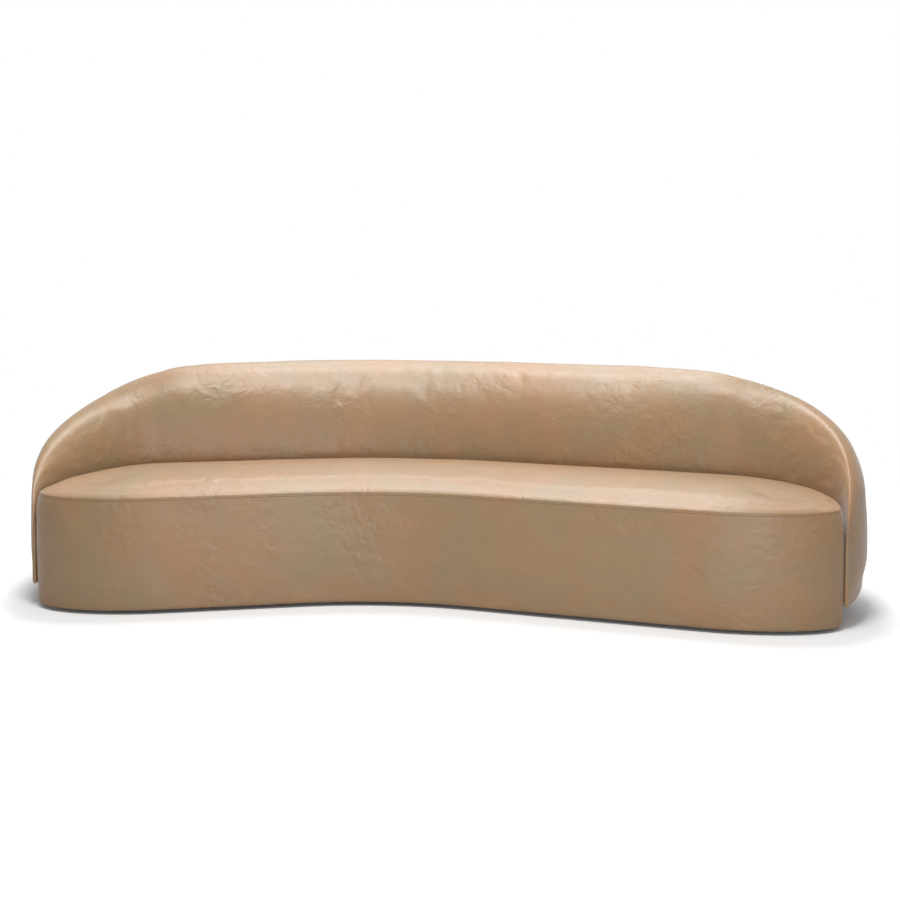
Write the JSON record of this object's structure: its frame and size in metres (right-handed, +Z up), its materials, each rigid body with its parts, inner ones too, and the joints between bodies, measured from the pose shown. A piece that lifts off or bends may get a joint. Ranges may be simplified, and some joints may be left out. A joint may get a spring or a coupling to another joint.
{
  "type": "curved sofa",
  "caption": "Long curved sofa in tan leather, with a crowned bean-shaped seat and one thick padded back that wraps round the rear and both ends, highest in the middle and falling to thin rims.",
  "frame": {"origin": "centre of the bounding box in plan, at the height of the floor under the glides", "axes": "+X runs along the sofa's length, to the sitter's left; -Y is the front, where the sitter faces; +Z is up"},
  "size_m": [3.0488, 1.171, 0.8093],
  "materials": {
    "leather": "semi-matte, cloudy tan pull-up leather",
    "foam": "matte open-cell foam under a light fleece",
    "plywood": "raw sanded birch plywood",
    "hardwood": "raw planed beech",
    "webbing": "matte woven elastic",
    "cloth": "matte black non-woven",
    "plastic": "fine-grained black moulding",
    "steel": "zinc plated"
  },
  "bodies": {
    "root": {"seat_top_cover": "leather", "seat_seam_welt": "leather", "seat_border_cover": "leather", "back_inner_cover": "leather", "back_outer_cover": "leather", "seat_foam": "foam", "foam_band": "foam", "back_inner_foam": "foam", "back_outer_foam": "foam", "back_end_foam_left": "foam", "back_end_foam_right": "foam", "seat_skin": "plywood", "base_ring": "plywood", "deck_ring": "plywood", "seat_rib_1": "plywood", "seat_rib_2": "plywood", "seat_rib_3": "plywood", "seat_rib_4": "plywood", "seat_rib_5": "plywood", "seat_rib_6": "plywood", "back_inner_panel": "plywood", "back_outer_panel": "plywood", "back_base_plate": "plywood", "back_middle_rail": "plywood", "back_rib_1": "plywood", "back_rib_2": "plywood", "back_rib_3": "plywood", "back_rib_4": "plywood", "back_rib_5": "plywood", "back_rib_6": "plywood", "back_top_rail": "hardwood", "block_1": "hardwood", "block_2": "hardwood", "block_3": "hardwood", "block_4": "hardwood", "webbing_1": "webbing", "webbing_2": "webbing", "webbing_3": "webbing", "webbing_4": "webbing", "webbing_5": "webbing", "webbing_6": "webbing", "webbing_7": "webbing", "webbing_8": "webbing", "webbing_9": "webbing", "webbing_10": "webbing", "webbing_11": "webbing", "webbing_12": "webbing", "webbing_13": "webbing", "dust_cover": "cloth", "glide_1": "plastic", "glide_2": "plastic", "glide_3": "plastic", "glide_4": "plastic", "glide_5": "plastic", "glide_6": "plastic", "bolt_1": "steel", "bolt_2": "steel", "bolt_3": "steel", "bolt_4": "steel"}
  },
  "joints": []
}
